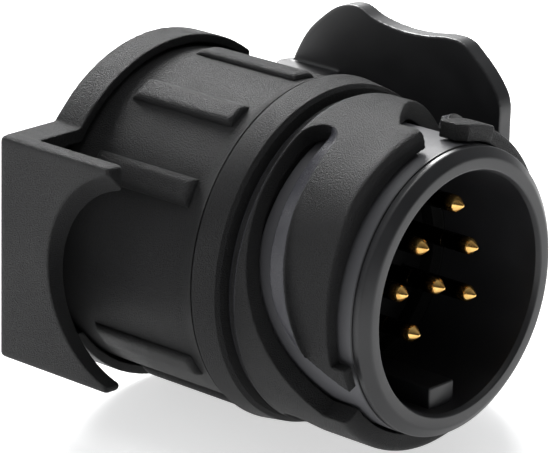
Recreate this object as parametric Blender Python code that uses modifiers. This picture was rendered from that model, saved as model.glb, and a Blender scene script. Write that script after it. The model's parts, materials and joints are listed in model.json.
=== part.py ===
"""Trailer wiring adapter: a 13-pin plug in front and a 7-pin socket behind, on one axis.

The connector axis is world X. The plug's mouth looks along +X and the lid closes the rear.
The lid's finger plate is on -Y, the hinge and the wing are on +Y, and the origin is where the
axis meets the flat back of the closed lid. Lengths below are in millimetres. Depth is measured
backwards from a plane just inside the plug's mouth.
"""
import math

import bmesh
import bpy
from mathutils import Matrix, Vector

MM = 0.001
MERGE = 0.000001            # merge distance of every modifier, in metres

# Driving dimensions
LENGTH = 54.7               # from the plane of depth 0 to the back of the lid
MOUTH = -0.4                # depth of the shroud's lip
PLATE_OUTER = 28.9          # axis to the outer face of the lid's finger plate
WING_INNER, WING_OUTER = 25.2, 27.9
WING_TOP = 25.4             # axis to the top of the wing
GAP = 0.3                   # gap between neighbouring pieces

SHROUD_BORE = 16.0
SHROUD_OUTER = 19.2
COLLAR_OUTER = 22.2
COLLAR_BORE = 19.6
COLLAR_FRONT, COLLAR_REAR = 3.7, 19.0
FLANGE_OUTER = 23.4
FLANGE_FRONT, FLANGE_REAR = 21.1, 25.1
BARREL_OUTER = 21.3
BARREL_BORE = 19.3
BARREL_REAR = 51.7
RIB_CREST = 22.4
RIB_FRONT, RIB_REAR = 28.8, 46.5
LID_OUTER = 23.9
LID_FRONT = 49.7

# Seven contacts of the plug, as (radius, angle from +Y towards +Z)
PIN_SEATS = [(0.0, 0.0), (7.6, 31.0), (7.2, 120.5), (7.5, 173.0), (7.0, 228.0), (7.0, 338.5),
             (10.9, 73.0)]
PIN_RADIUS = 1.15
PIN_TIP, PIN_TAIL = 2.5, 28.2

# Rear socket
SOCKET_RADIUS = 12.6
SOCKET_FRONT, SOCKET_REAR = 36.4, 49.8
TUBE_CIRCLE = 8.4
TUBE_OUTER, TUBE_BORE = 2.7, 1.9

# Hinge of the lid, a vertical pin
HINGE_DEPTH, HINGE_Y = 50.6, 24.2
HINGE_PIN_RADIUS = 1.1
KNUCKLE_RADIUS = 2.4
EAR_INNER, EAR_OUTER = 11.6, 15.4

BLACK = (0.022, 0.022, 0.024)
DARK_GREY = (0.05, 0.05, 0.055)


def x_at(depth):
    """World X, in millimetres, of a depth."""
    return LENGTH - depth


def polar(radius, degrees):
    """Y and Z of a point at a radius and an angle from +Y towards +Z."""
    angle = math.radians(degrees)
    return radius * math.cos(angle), radius * math.sin(angle)


# Scene set-up

for old in list(bpy.data.objects):
    bpy.data.objects.remove(old, do_unlink=True)

parts = bpy.data.collections.new("trailer_wiring_connector")
cutters = bpy.data.collections.new("cutters")
for collection in (parts, cutters):
    bpy.context.scene.collection.children.link(collection)


def material(name, colour, roughness, metallic=0.0):
    mat = bpy.data.materials.new(name)
    mat.use_nodes = True
    shader = mat.node_tree.nodes["Principled BSDF"]
    shader.inputs["Base Color"].default_value = (*colour, 1.0)
    shader.inputs["Roughness"].default_value = roughness
    shader.inputs["Metallic"].default_value = metallic
    return mat


# Makers of simple shapes

def add_object(name, mesh, mat=None):
    """A part when it has a material, and a cutter when it has none."""
    obj = bpy.data.objects.new(name, mesh)
    if mat is None:
        cutters.objects.link(obj)
        obj.hide_render = True
        obj.display_type = 'WIRE'
    else:
        parts.objects.link(obj)
        mesh.materials.append(mat)
    return obj


def turned(name, profile, mat=None, steps=48, centre=(0.0, 0.0)):
    """A solid of revolution about X: profile is (depth, radius), front to rear outside.

    A profile that starts and ends on the axis stays open there; any other is closed.
    """
    mesh = bpy.data.meshes.new(name)
    verts = [(radius * MM, 0.0, x_at(depth) * MM) for depth, radius in profile]
    edges = [(i, i + 1) for i in range(len(verts) - 1)]
    if profile[0][1] > 0.0:
        edges.append((len(verts) - 1, 0))
    mesh.from_pydata(verts, edges, [])
    obj = add_object(name, mesh, mat)
    obj.location = (0.0, centre[0] * MM, centre[1] * MM)
    obj.rotation_euler = (0.0, math.pi / 2, 0.0)
    screw = obj.modifiers.new("turn", 'SCREW')
    screw.axis = 'Z'
    screw.steps = steps
    screw.render_steps = steps
    screw.use_merge_vertices = True
    screw.merge_threshold = MERGE
    return obj


def box(name, depths, ys, zs, mat=None, bevel=0.0, turn=0.0):
    """A box between two depths, two Y and two Z, with its edges rounded, turned about X."""
    bm = bmesh.new()
    bmesh.ops.create_cube(bm, size=1.0)
    size = Vector((depths[1] - depths[0], ys[1] - ys[0], zs[1] - zs[0])) * MM
    middle = Vector((x_at(sum(depths) / 2), sum(ys) / 2, sum(zs) / 2)) * MM
    bmesh.ops.scale(bm, vec=size, verts=bm.verts)
    if bevel > 0.0:
        bmesh.ops.bevel(bm, geom=bm.edges, offset=bevel * MM, segments=2, affect='EDGES',
                        profile=0.5)
    place = Matrix.Rotation(math.radians(turn), 4, 'X') @ Matrix.Translation(middle)
    bmesh.ops.transform(bm, matrix=place, verts=bm.verts)
    mesh = bpy.data.meshes.new(name)
    bm.to_mesh(mesh)
    bm.free()
    return add_object(name, mesh, mat)


def rod(name, radius, start, end, mat=None, segments=20):
    """A cylinder from start to end, both (depth, y, z)."""
    tail = Vector((x_at(start[0]), start[1], start[2])) * MM
    head = Vector((x_at(end[0]), end[1], end[2])) * MM
    direction = head - tail
    bm = bmesh.new()
    bmesh.ops.create_cone(bm, cap_ends=True, segments=segments, radius1=radius * MM,
                          radius2=radius * MM, depth=direction.length)
    turn = direction.to_track_quat('Z', 'Y').to_matrix().to_4x4()
    bmesh.ops.transform(bm, matrix=Matrix.Translation((head + tail) / 2) @ turn, verts=bm.verts)
    mesh = bpy.data.meshes.new(name)
    bm.to_mesh(mesh)
    bm.free()
    return add_object(name, mesh, mat)


def curve_to_mesh(name, curve, mat=None):
    """The closed mesh of a curve, with its caps welded."""
    guide = bpy.data.objects.new(name + "_curve", curve)
    bpy.context.scene.collection.objects.link(guide)
    view = bpy.context.evaluated_depsgraph_get()
    mesh = bpy.data.meshes.new_from_object(guide.evaluated_get(view))
    bpy.data.objects.remove(guide, do_unlink=True)
    bm = bmesh.new()
    bm.from_mesh(mesh)
    bmesh.ops.remove_doubles(bm, verts=bm.verts, dist=MERGE)
    bmesh.ops.recalc_face_normals(bm, faces=bm.faces)
    bm.to_mesh(mesh)
    bm.free()
    mesh.name = name
    mesh.materials.clear()
    return add_object(name, mesh, mat)


def side_plate(name, outline, ys, mat=None, smooth=False, resolution=6):
    """A flat plate in the XZ plane between two Y, from an outline of (depth, z)."""
    curve = bpy.data.curves.new(name, 'CURVE')
    curve.dimensions = '2D'
    curve.fill_mode = 'BOTH'
    curve.extrude = (ys[1] - ys[0]) / 2 * MM
    if smooth:
        spline = curve.splines.new('BEZIER')
        spline.bezier_points.add(len(outline) - 1)
        for point, (depth, z) in zip(spline.bezier_points, outline):
            point.co = (x_at(depth) * MM, z * MM, 0.0)
            point.handle_left_type = 'AUTO'
            point.handle_right_type = 'AUTO'
        spline.resolution_u = resolution
    else:
        spline = curve.splines.new('POLY')
        spline.points.add(len(outline) - 1)
        for point, (depth, z) in zip(spline.points, outline):
            point.co = (x_at(depth) * MM, z * MM, 0.0, 1.0)
    spline.use_cyclic_u = True
    obj = curve_to_mesh(name, curve, mat)
    stand = Matrix.Rotation(math.pi / 2, 4, 'X')
    stand = Matrix.Translation((0.0, sum(ys) / 2 * MM, 0.0)) @ stand
    obj.data.transform(stand)
    return obj


def end_plate(name, outline, depths, mat=None):
    """A flat plate in the YZ plane between two depths, from an outline of (y, z)."""
    curve = bpy.data.curves.new(name, 'CURVE')
    curve.dimensions = '2D'
    curve.fill_mode = 'BOTH'
    curve.extrude = (depths[1] - depths[0]) / 2 * MM
    spline = curve.splines.new('POLY')
    spline.points.add(len(outline) - 1)
    for point, (y, z) in zip(spline.points, outline):
        point.co = (y * MM, z * MM, 0.0, 1.0)
    spline.use_cyclic_u = True
    obj = curve_to_mesh(name, curve, mat)
    axes = Matrix(((0, 0, 1, x_at(sum(depths) / 2) * MM), (1, 0, 0, 0), (0, 1, 0, 0), (0, 0, 0, 1)))
    obj.data.transform(axes)
    return obj


def wire(name, points, radius, mat, resolution=1):
    """A round wire through points given as (depth, y, z)."""
    curve = bpy.data.curves.new(name, 'CURVE')
    curve.dimensions = '3D'
    curve.bevel_depth = radius * MM
    curve.bevel_resolution = resolution
    curve.use_fill_caps = True
    spline = curve.splines.new('POLY')
    spline.points.add(len(points) - 1)
    for point, (depth, y, z) in zip(spline.points, points):
        point.co = (x_at(depth) * MM, y * MM, z * MM, 1.0)
    return curve_to_mesh(name, curve, mat)


def boolean(obj, other, operation):
    modifier = obj.modifiers.new(operation.lower(), 'BOOLEAN')
    modifier.operation = operation
    modifier.solver = 'EXACT'
    modifier.object = other


def cut(obj, *tools):
    for tool in tools:
        boolean(obj, tool, 'DIFFERENCE')


def join(obj, *pieces):
    for piece in pieces:
        boolean(obj, piece, 'UNION')


def shade(obj, degrees=35.0):
    obj.data.shade_smooth()
    obj.data.set_sharp_from_angle(angle=math.radians(degrees))


# Materials

black_grained = material("black_grained_plastic", BLACK, 0.62)
black_smooth = material("black_smooth_plastic", BLACK, 0.40)
carrier_plastic = material("insulator_plastic", DARK_GREY, 0.55)
gold = material("gold_plate", (0.95, 0.66, 0.22), 0.22, 1.0)
brass = material("brass", (0.80, 0.58, 0.28), 0.30, 1.0)
steel = material("zinc_steel", (0.62, 0.62, 0.60), 0.32, 1.0)
rubber = material("black_rubber", (0.015, 0.015, 0.016), 0.85)
lead_colours = [(0.55, 0.45, 0.05), (0.03, 0.08, 0.40), (0.75, 0.75, 0.72), (0.03, 0.25, 0.06),
                (0.20, 0.09, 0.04), (0.45, 0.03, 0.02), (0.02, 0.02, 0.02)]


# Turning insert: shroud, carrier, contact pins and retaining ring

def make_plug_shroud():
    hub, hub_bore, seat, rear = 16.6, 14.0, 15.9, 18.4
    hub_rear, groove_front, groove = 29.0, 27.2, 15.9
    profile = [(MOUTH, 16.4), (MOUTH, 17.8), (MOUTH + 0.25, 18.6), (MOUTH + 0.9, SHROUD_OUTER),
               (rear, SHROUD_OUTER), (rear, hub), (groove_front, hub), (groove_front, groove), (hub_rear - 0.6, groove),
               (hub_rear - 0.6, hub), (hub_rear, hub), (hub_rear, hub_bore), (seat, hub_bore),
               (seat, SHROUD_BORE), (MOUTH + 0.4, SHROUD_BORE)]
    shroud = turned("plug_shroud", profile, black_smooth)
    key = box("shroud_key", (2.3, seat - 0.4), (-2.5, 2.5), (-SHROUD_BORE - 0.8, -13.0))
    join(shroud, key)
    return shroud


def make_pin_carrier():
    front, face, rear = 12.6, 15.6, 26.0
    profile = [(front, 0.0), (front, 15.3), (front + 0.4, 15.7), (face, 15.7), (face, 13.7),
               (rear, 13.7), (rear, 0.0)]
    carrier = turned("pin_carrier", profile, carrier_plastic)
    keyway = box("carrier_keyway", (front - 1.0, face + 0.2), (-2.8, 2.8), (-17.0, -12.7))
    cut(carrier, keyway)
    for index, seat in enumerate(PIN_SEATS, 1):
        y, z = polar(*seat)
        hole = rod(f"pin_hole_{index}", PIN_RADIUS + 0.08, (front - 1.0, y, z),
                   (rear + 1.0, y, z), segments=12)
        cut(carrier, hole)
    return carrier


def make_contact_pin(index, seat):
    tip = PIN_TIP
    tail = 0.8
    profile = [(tip, 0.0), (tip + 0.1, 0.25), (tip + 0.95, 0.95), (tip + 1.35, PIN_RADIUS),
               (26.3, PIN_RADIUS), (26.3, tail), (PIN_TAIL, tail), (PIN_TAIL, 0.0)]
    return turned(f"contact_pin_{index}", profile, gold, steps=12, centre=polar(*seat))


def make_retaining_ring():
    """A snap ring in the hub's groove, behind the collar's neck, open at the bottom."""
    ring = turned("retaining_ring", [(27.5, 16.3), (27.5, 18.3), (28.1, 18.3), (28.1, 16.3)],
                  steel)
    mouth = box("retaining_ring_mouth", (26.0, 30.0), (-3.0, 3.0), (-20.0, -14.0))
    cut(ring, mouth)
    return ring


# Bayonet collar

SLOTS = 3
SLOT_END, SLOT_MOUTH = 111.7, 208.3     # closed end and open end of the first slot, degrees
SLOT_EXIT = 220.3                       # angle where the next block starts
TAPER_START = 133.7                     # angle where the first block starts to get lower
LUG_FRONT = 1.6                         # depth of the lugs that guide the vehicle's pegs in
LUG_START, LUG_END = 195.5, 211.3       # the low lug on the plate's side
NOSE_START, NOSE_TURN, NOSE_END = 68.8, 84.1, 89.3      # the chamfered lug at the top
BLOCK_END_RADIUS = 21.1                 # the blocks between the slots taper down to this


def slot_edges(angle):
    """Depths of a slot's front edge, of the foot of its ramp and of its rear edge."""
    along = (angle - SLOT_END) / (SLOT_MOUTH - SLOT_END)
    foot = 15.0 - 16.5 * along ** 5.5 if along < 1.0 else -1.5
    front = min(12.8 - 8.0 * along ** 2.2, foot - 0.4)
    rear = 18.6 - 7.5 * along ** 3.2
    rounding = min(max((angle - SLOT_END) / 8.0, 0.06), 1.0)
    width = math.sqrt(1.0 - (1.0 - rounding) ** 2)
    middle = 15.8
    if rounding < 1.0:
        front, foot, rear = (middle + (depth - middle) * width for depth in (front, foot, rear))
    return front, foot, rear


def swept(name, start, end, section, steps):
    """A closed solid along an arc about X: section(angle) gives its corners (depth, radius)."""
    bm = bmesh.new()
    rings = []
    for step in range(steps + 1):
        angle = start + (end - start) * (step / steps) ** 1.25
        ring = []
        for depth, radius in section(angle):
            y, z = polar(radius, angle)
            ring.append(bm.verts.new((x_at(depth) * MM, y * MM, z * MM)))
        rings.append(ring)
    corners = len(rings[0])
    for first, second in zip(rings, rings[1:]):
        for corner in range(corners):
            following = (corner + 1) % corners
            bm.faces.new((first[corner], first[following], second[following], second[corner]))
    bm.faces.new(rings[0])
    bm.faces.new(reversed(rings[-1]))
    bmesh.ops.triangulate(bm, faces=bm.faces)
    bmesh.ops.recalc_face_normals(bm, faces=bm.faces)
    mesh = bpy.data.meshes.new(name)
    bm.to_mesh(mesh)
    bm.free()
    return add_object(name, mesh)


def slot_section(angle):
    """Across a slot: an open channel whose front wall has a ramp at its top."""
    front, foot, rear = slot_edges(angle)
    inner, ramp, outer = COLLAR_BORE - 1.0, COLLAR_OUTER - 0.9, COLLAR_OUTER + 1.5
    lean = (foot - front) * 1.6
    return [(foot, inner), (foot, ramp), (front - lean, outer), (rear, outer), (rear, inner)]


def taper_section(angle):
    """What is taken off a block's outside so that it gets lower towards its end."""
    start_radius = COLLAR_OUTER + 0.03
    along = (angle - TAPER_START) / (SLOT_MOUTH - TAPER_START)
    radius = start_radius - (start_radius - BLOCK_END_RADIUS) * along
    front = slot_edges(min(angle, SLOT_MOUTH - 4.0))[0] + 0.4
    return [(-1.0, radius), (-1.0, radius + 3.0), (front, radius + 3.0), (front, radius)]


def lug_section(angle):
    inner, outer = COLLAR_BORE + 0.15, COLLAR_OUTER - 0.2
    return [(LUG_FRONT, inner), (LUG_FRONT, outer), (6.0, outer), (6.0, inner)]


def nose_section(angle):
    """Across the top lug, whose front face slants back towards its end."""
    inner, outer = COLLAR_BORE - 0.08, COLLAR_OUTER - 0.45
    slant = max(0.0, (angle - NOSE_TURN) / (NOSE_END - NOSE_TURN))
    front = LUG_FRONT + 1.4 * slant
    return [(front, inner), (front, outer), (7.0, outer), (7.0, inner)]


def make_bayonet_collar():
    neck, spigot, spigot_rear = 16.95, 19.0, 26.9
    profile = [(COLLAR_FRONT, COLLAR_OUTER - 1.2), (COLLAR_FRONT + 0.35, COLLAR_OUTER - 0.4),
               (COLLAR_FRONT + 1.2, COLLAR_OUTER), (COLLAR_REAR, COLLAR_OUTER), (COLLAR_REAR, COLLAR_OUTER - 0.6),
               (20.3, COLLAR_OUTER - 0.6), (20.3, spigot), (23.0, spigot), (23.0, spigot - 1.0),
               (24.6, spigot - 1.0), (24.6, spigot), (spigot_rear, spigot), (spigot_rear, neck),
               (18.8, neck), (18.8, COLLAR_BORE), (COLLAR_FRONT, COLLAR_BORE)]
    collar = turned("bayonet_collar", profile, black_grained, steps=72)
    join(collar, swept("bayonet_lug", LUG_START, LUG_END, lug_section, 5))
    shapes = [(cut, "slot", SLOT_END, SLOT_EXIT, slot_section, 30),
              (cut, "taper", TAPER_START, SLOT_EXIT - 5.0, taper_section, 12)]
    for apply, kind, start, end, section, steps in shapes:
        for index in range(SLOTS):
            tool = swept(f"bayonet_{kind}_{index + 1}", start, end, section, steps)
            tool.rotation_euler.x = math.radians(360.0 / SLOTS * index)
            apply(collar, tool)
    join(collar, swept("bayonet_nose", NOSE_START, NOSE_END, nose_section, 8))
    return collar


# Housing

def make_front_housing():
    """The flange ring with the cavity for the collar's spigot."""
    profile = [(FLANGE_FRONT, FLANGE_OUTER - 0.9), (FLANGE_FRONT + 0.4, FLANGE_OUTER - 0.5),
               (FLANGE_REAR, FLANGE_OUTER), (FLANGE_REAR, 20.3), (27.6, 20.3), (27.6, 19.2),
               (FLANGE_FRONT, 19.2)]
    return turned("front_housing", profile, black_grained)


def make_housing_seal():
    """An O-ring in the groove of the collar's spigot."""
    centre_radius, centre_depth, radius = 18.55, 23.8, 0.45
    profile = []
    for step in range(8):
        angle = 2 * math.pi * step / 8
        profile.append((centre_depth - radius * math.cos(angle),
                        centre_radius + radius * math.sin(angle)))
    return turned("housing_seal", profile, rubber)


def make_grip_barrel():
    flare = [(FLANGE_REAR + GAP, FLANGE_OUTER - 0.15), (26.1, 22.5), (27.0, 21.8),
             (28.2, BARREL_OUTER)]
    profile = flare + [(BARREL_REAR, BARREL_OUTER), (BARREL_REAR, BARREL_BORE),
                       (39.3, BARREL_BORE), (39.3, 17.0), (36.6, 17.0), (36.6, BARREL_BORE),
                       (28.4, BARREL_BORE), (28.4, 20.6), (FLANGE_REAR + GAP, 20.6)]
    barrel = turned("grip_barrel", profile, black_grained)
    rib_angles = [52.0, 84.8, 117.5, 150.2, 215.7, 248.4, 281.1, 313.9]
    for index, angle in enumerate(rib_angles, 1):
        rib = box(f"grip_rib_{index}", (RIB_FRONT, RIB_REAR), (BARREL_OUTER - 0.9, RIB_CREST),
                  (-2.1, 2.1), bevel=0.9, turn=angle)
        join(barrel, rib)
    return barrel


def make_wing_bracket():
    """The wing with its two hinge ears and the pad that sits on the barrel."""
    half = [(14.5, 13.3), (14.7, 17.0), (15.7, 18.9), (19.8, 22.9), (21.3, 23.9), (23.5, 24.2),
            (28.8, 23.6), (33.0, 23.6), (36.8, 24.2), (41.1, WING_TOP), (46.9, 22.3),
            (51.0, 16.8), (52.2, 12.6)]
    outline = half + [(depth, -z) for depth, z in reversed(half)]
    wing = side_plate("wing_bracket", outline, (WING_INNER, WING_OUTER), black_smooth,
                      smooth=True, resolution=3)
    pad = box("wing_pad", (31.0, 44.0), (20.0, WING_INNER + 0.5), (-8.5, 8.5))
    seat = rod("wing_pad_seat", BARREL_OUTER + GAP, (20.0, 0.0, 0.0), (60.0, 0.0, 0.0),
               segments=48)
    cut(pad, seat)
    notch = box("wing_notch", (46.2, 60.0), (20.0, 30.0), (-EAR_INNER, EAR_INNER))
    join(wing, pad)
    for side in (-1, 1):
        low, high = sorted((side * EAR_INNER, side * EAR_OUTER))
        ear = box(f"wing_ear_{side}", (43.0, HINGE_DEPTH), (HINGE_Y - 2.2, WING_INNER + 0.5),
                  (low, high))
        knuckle = rod(f"wing_knuckle_{side}", KNUCKLE_RADIUS, (HINGE_DEPTH, HINGE_Y, low),
                      (HINGE_DEPTH, HINGE_Y, high))
        join(wing, ear, knuckle)
    bore = rod("wing_hinge_bore", HINGE_PIN_RADIUS + 0.08, (HINGE_DEPTH, HINGE_Y, -20.0),
               (HINGE_DEPTH, HINGE_Y, EAR_OUTER - 0.8))
    cut(wing, notch, bore)
    return wing


# Rear socket

def make_socket_insert():
    profile = [(SOCKET_FRONT, 0.0), (SOCKET_FRONT, 16.7), (39.6, 16.7), (39.6, 19.0), (41.2, 19.0),
               (41.2, SOCKET_RADIUS), (SOCKET_REAR - 0.6, SOCKET_RADIUS),
               (SOCKET_REAR, SOCKET_RADIUS - 0.6), (SOCKET_REAR, 0.0)]
    insert = turned("socket_insert", profile, carrier_plastic)
    for index, (y, z) in enumerate(socket_places(), 1):
        hole = rod(f"tube_hole_{index}", TUBE_OUTER + 0.08, (SOCKET_FRONT - 1.0, y, z),
                   (SOCKET_REAR + 1.0, y, z), segments=16)
        cut(insert, hole)
    return insert


def socket_places():
    """Six places on a circle, and the middle one."""
    ring = [polar(TUBE_CIRCLE, 30.0 + 60.0 * place) for place in range(6)]
    return [(0.0, 0.0)] + ring


def make_socket_contact(index, place):
    front, rear = 35.8, SOCKET_REAR - 0.5
    profile = [(front, 0.0), (front, TUBE_OUTER), (rear, TUBE_OUTER), (rear, TUBE_BORE),
               (front + 2.5, TUBE_BORE), (front + 2.5, 0.0)]
    return turned(f"socket_contact_{index}", profile, brass, steps=16, centre=place)


def make_lead(index, seat, place):
    """A short lead from a pin's tail to the contact tube behind it, bent in a slow S."""
    start, end = PIN_TAIL + GAP, 35.8 - GAP
    from_y, from_z = polar(*seat)
    points = []
    steps = 8
    for step in range(steps + 1):
        share = step / steps
        ease = share * share * (3.0 - 2.0 * share)
        points.append((start + (end - start) * share, from_y + (place[0] - from_y) * ease,
                       from_z + (place[1] - from_z) * ease))
    mat = material(f"lead_insulation_{index}", lead_colours[index - 1], 0.5)
    return wire(f"lead_{index}", points, 0.7, mat)


# Lid

def scallop_cutter(outer_y, inner_y):
    """A leaning cone that leaves a round finger scoop in the plate between two Y."""
    outer_radius, inner_radius = 15.05, 13.4
    outer_centre, inner_centre = (30.4, -0.3), (32.0, -1.8)
    narrowing = outer_radius - inner_radius
    thickness = inner_y - outer_y
    bm = bmesh.new()
    bmesh.ops.create_cone(bm, cap_ends=True, segments=56, depth=2.0 * thickness * MM,
                          radius1=(outer_radius + narrowing / 2) * MM,
                          radius2=(inner_radius - narrowing / 2) * MM)
    for vert in bm.verts:
        share = 0.5 + vert.co.z / (thickness * MM)
        depth, height = (a + (b - a) * share for a, b in zip(outer_centre, inner_centre))
        vert.co = (vert.co.x + x_at(depth) * MM, (outer_y + thickness * share) * MM,
                   vert.co.y + height * MM)
    bmesh.ops.recalc_face_normals(bm, faces=bm.faces)
    mesh = bpy.data.meshes.new("lid_scallop")
    bm.to_mesh(mesh)
    bm.free()
    return add_object("lid_scallop", mesh)


def lid_outline(radius, left, top, bottom, steps=56):
    """Outline (y, z) of the lid seen from behind: a round end with a square side box."""
    start = math.degrees(math.asin(top / radius))
    end = 180.0 + math.degrees(math.asin(-bottom / radius))
    points = []
    for step in range(steps + 1):
        turn = 180.0 - start - (540.0 - start - end) * step / steps
        points.append(polar(radius, turn))
    return points + [(left, bottom), (left, top)]


def make_rear_lid():
    wall = 1.3
    inside = LENGTH - 2.0
    top, bottom = 15.0, -15.8
    tips = 34.6
    plate_outer, plate_inner = -PLATE_OUTER, 2.8 - PLATE_OUTER
    lid = end_plate("rear_lid", lid_outline(LID_OUTER, plate_outer + 1.2, top - 0.1, bottom + 0.1),
                    (LID_FRONT, LENGTH), black_grained)
    hollow = end_plate("lid_hollow", lid_outline(LID_OUTER - wall, plate_outer + 0.4, top - 2.0,
                                                 bottom + 2.0), (LID_FRONT - 1.0, inside))
    hinge_side = box("lid_hinge_side", (45.0, inside + 0.2), (14.0, 30.0), (-30.0, 30.0))
    cut(lid, hollow, hinge_side)

    plate = box("lid_finger_plate", (tips, LENGTH - 0.1), (plate_outer, plate_inner),
                (bottom, top))
    cut(plate, scallop_cutter(plate_outer, plate_inner))
    join(lid, plate)

    for side in (-1, 1):
        low, high = sorted((side * 3.9, side * 11.2))
        arm = box(f"lid_arm_{side}", (inside + 0.1, LENGTH - 0.1),
                  (16.0, HINGE_Y + KNUCKLE_RADIUS - 0.3), (low + 0.2, high - 0.2))
        neck = box(f"lid_neck_{side}", (HINGE_DEPTH, LENGTH - 0.5),
                   (HINGE_Y - KNUCKLE_RADIUS + 0.1, HINGE_Y + KNUCKLE_RADIUS - 0.1),
                   (low + 0.1, high - 0.1))
        knuckle = rod(f"lid_knuckle_{side}", KNUCKLE_RADIUS, (HINGE_DEPTH, HINGE_Y, low),
                      (HINGE_DEPTH, HINGE_Y, high))
        join(lid, arm, neck, knuckle)
    bore = rod("lid_hinge_bore", HINGE_PIN_RADIUS + 0.08, (HINGE_DEPTH, HINGE_Y, -20.0),
               (HINGE_DEPTH, HINGE_Y, 20.0))
    cut(lid, bore)
    return lid


def make_lid_gasket():
    inside = LENGTH - 2.0
    profile = [(inside - 0.7, 12.4), (inside - 0.7, 20.9), (inside - 0.3, 20.9),
               (inside - 0.3, 12.4)]
    return turned("lid_gasket", profile, rubber)


def make_hinge_pin():
    """The lid's pin, pressed in from below as far as the closed top of the upper ear."""
    bottom, top = 0.4 - EAR_OUTER, EAR_OUTER - 1.1
    return rod("hinge_pin", HINGE_PIN_RADIUS, (HINGE_DEPTH, HINGE_Y, bottom),
               (HINGE_DEPTH, HINGE_Y, top), steel)


def make_lid_spring():
    """A torsion spring round the pin, between the lid's knuckles, with two short legs."""
    coil, wire_radius, turns, per_turn = 1.75, 0.22, 6, 12
    half_height = 3.0
    points = [(HINGE_DEPTH - 5.5, HINGE_Y - coil, -half_height)]
    steps = turns * per_turn
    for step in range(steps + 1):
        angle = -math.pi / 2 + 2 * math.pi * step / per_turn
        points.append((HINGE_DEPTH - coil * math.cos(angle), HINGE_Y + coil * math.sin(angle),
                       -half_height + 2 * half_height * step / steps))
    points.append((HINGE_DEPTH + 1.6, HINGE_Y - coil, half_height))
    return wire("lid_spring", points, wire_radius, steel, resolution=1)


# Assembly

make_plug_shroud()
make_pin_carrier()
for number, pin_seat in enumerate(PIN_SEATS, 1):
    make_contact_pin(number, pin_seat)
make_retaining_ring()
make_bayonet_collar()
make_front_housing()
make_housing_seal()
make_grip_barrel()
make_wing_bracket()
make_socket_insert()
for number, tube_place in enumerate(socket_places(), 1):
    make_socket_contact(number, tube_place)
    make_lead(number, PIN_SEATS[number - 1], tube_place)
make_rear_lid()
make_lid_gasket()
make_hinge_pin()
make_lid_spring()

for part in parts.objects:
    shade(part)
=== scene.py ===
"""The looks of the trailer wiring adapter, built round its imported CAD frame.

Lengths are in millimetres until they reach a mesh. Depth is measured backwards from a plane just
inside the plug's mouth, as in the CAD, and every leading place is read from the frame.
"""
import json
import math

import bmesh
import bpy
from mathutils import Matrix, Vector


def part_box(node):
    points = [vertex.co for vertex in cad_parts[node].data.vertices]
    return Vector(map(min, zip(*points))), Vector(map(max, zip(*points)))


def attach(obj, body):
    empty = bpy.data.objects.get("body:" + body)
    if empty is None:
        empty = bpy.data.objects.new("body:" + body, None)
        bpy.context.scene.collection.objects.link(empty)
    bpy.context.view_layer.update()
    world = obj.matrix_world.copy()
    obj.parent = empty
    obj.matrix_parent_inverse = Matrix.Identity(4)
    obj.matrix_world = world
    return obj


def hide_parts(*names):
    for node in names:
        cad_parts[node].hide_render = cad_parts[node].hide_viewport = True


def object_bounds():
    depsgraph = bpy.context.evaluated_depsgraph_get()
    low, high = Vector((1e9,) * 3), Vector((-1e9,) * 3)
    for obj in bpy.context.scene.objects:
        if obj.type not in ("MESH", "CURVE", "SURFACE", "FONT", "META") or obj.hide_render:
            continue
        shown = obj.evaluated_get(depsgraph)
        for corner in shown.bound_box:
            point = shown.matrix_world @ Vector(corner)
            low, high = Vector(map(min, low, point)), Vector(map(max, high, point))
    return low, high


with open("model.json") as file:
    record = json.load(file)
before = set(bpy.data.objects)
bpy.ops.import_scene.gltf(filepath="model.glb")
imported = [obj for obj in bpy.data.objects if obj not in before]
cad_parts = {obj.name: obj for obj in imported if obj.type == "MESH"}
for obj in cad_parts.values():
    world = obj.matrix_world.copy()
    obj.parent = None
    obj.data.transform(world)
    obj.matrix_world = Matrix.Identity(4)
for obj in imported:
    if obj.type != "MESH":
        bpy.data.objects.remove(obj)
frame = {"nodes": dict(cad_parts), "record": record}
cad_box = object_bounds()
scene = bpy.context.scene
MM = 0.001


def extent(node):
    """Lowest and highest corner of a CAD node, in millimetres."""
    low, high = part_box(node)
    return low / MM, high / MM


# Driving dimensions, from the frame
MOUTH = -0.4                                    # depth of the shroud's lip
LENGTH = extent("plug_shroud")[1].x + MOUTH     # depth of the back of the lid, which is at X = 0
SHROUD_OUTER = extent("plug_shroud")[1].y
COLLAR_OUTER = extent("bayonet_collar")[1].y
FLANGE_OUTER = extent("front_housing")[1].y
FLANGE_FRONT = LENGTH - extent("front_housing")[1].x
RIB_CREST = extent("grip_barrel")[1].z
BARREL_FRONT = LENGTH - extent("grip_barrel")[1].x
BARREL_REAR = LENGTH - extent("grip_barrel")[0].x
WING_OUTER = extent("wing_bracket")[1].y
WING_TOP = extent("wing_bracket")[1].z
PLATE_OUTER = extent("rear_lid")[0].y
LID_OUTER = extent("rear_lid")[1].z
HINGE_Y = sum(corner.y for corner in extent("hinge_pin")) / 2
HINGE_DEPTH = LENGTH - sum(corner.x for corner in extent("hinge_pin")) / 2

# Dimensions that follow from them
GAP = 0.3
SHROUD_BORE = SHROUD_OUTER - 3.2
COLLAR_BORE = SHROUD_OUTER + 0.4
COLLAR_FRONT, COLLAR_REAR = 3.7, 19.0
FLANGE_REAR = BARREL_FRONT - GAP
BARREL_OUTER = RIB_CREST - 1.1
BARREL_BORE = BARREL_OUTER - 2.0
LID_FRONT = 49.7


def x_at(depth):
    """X of a depth, in millimetres."""
    return LENGTH - depth


def polar(radius, degrees):
    """Y and Z of a point at a radius and an angle from +Y towards +Z."""
    angle = math.radians(degrees)
    return radius * math.cos(angle), radius * math.sin(angle)


# Mesh makers

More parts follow.
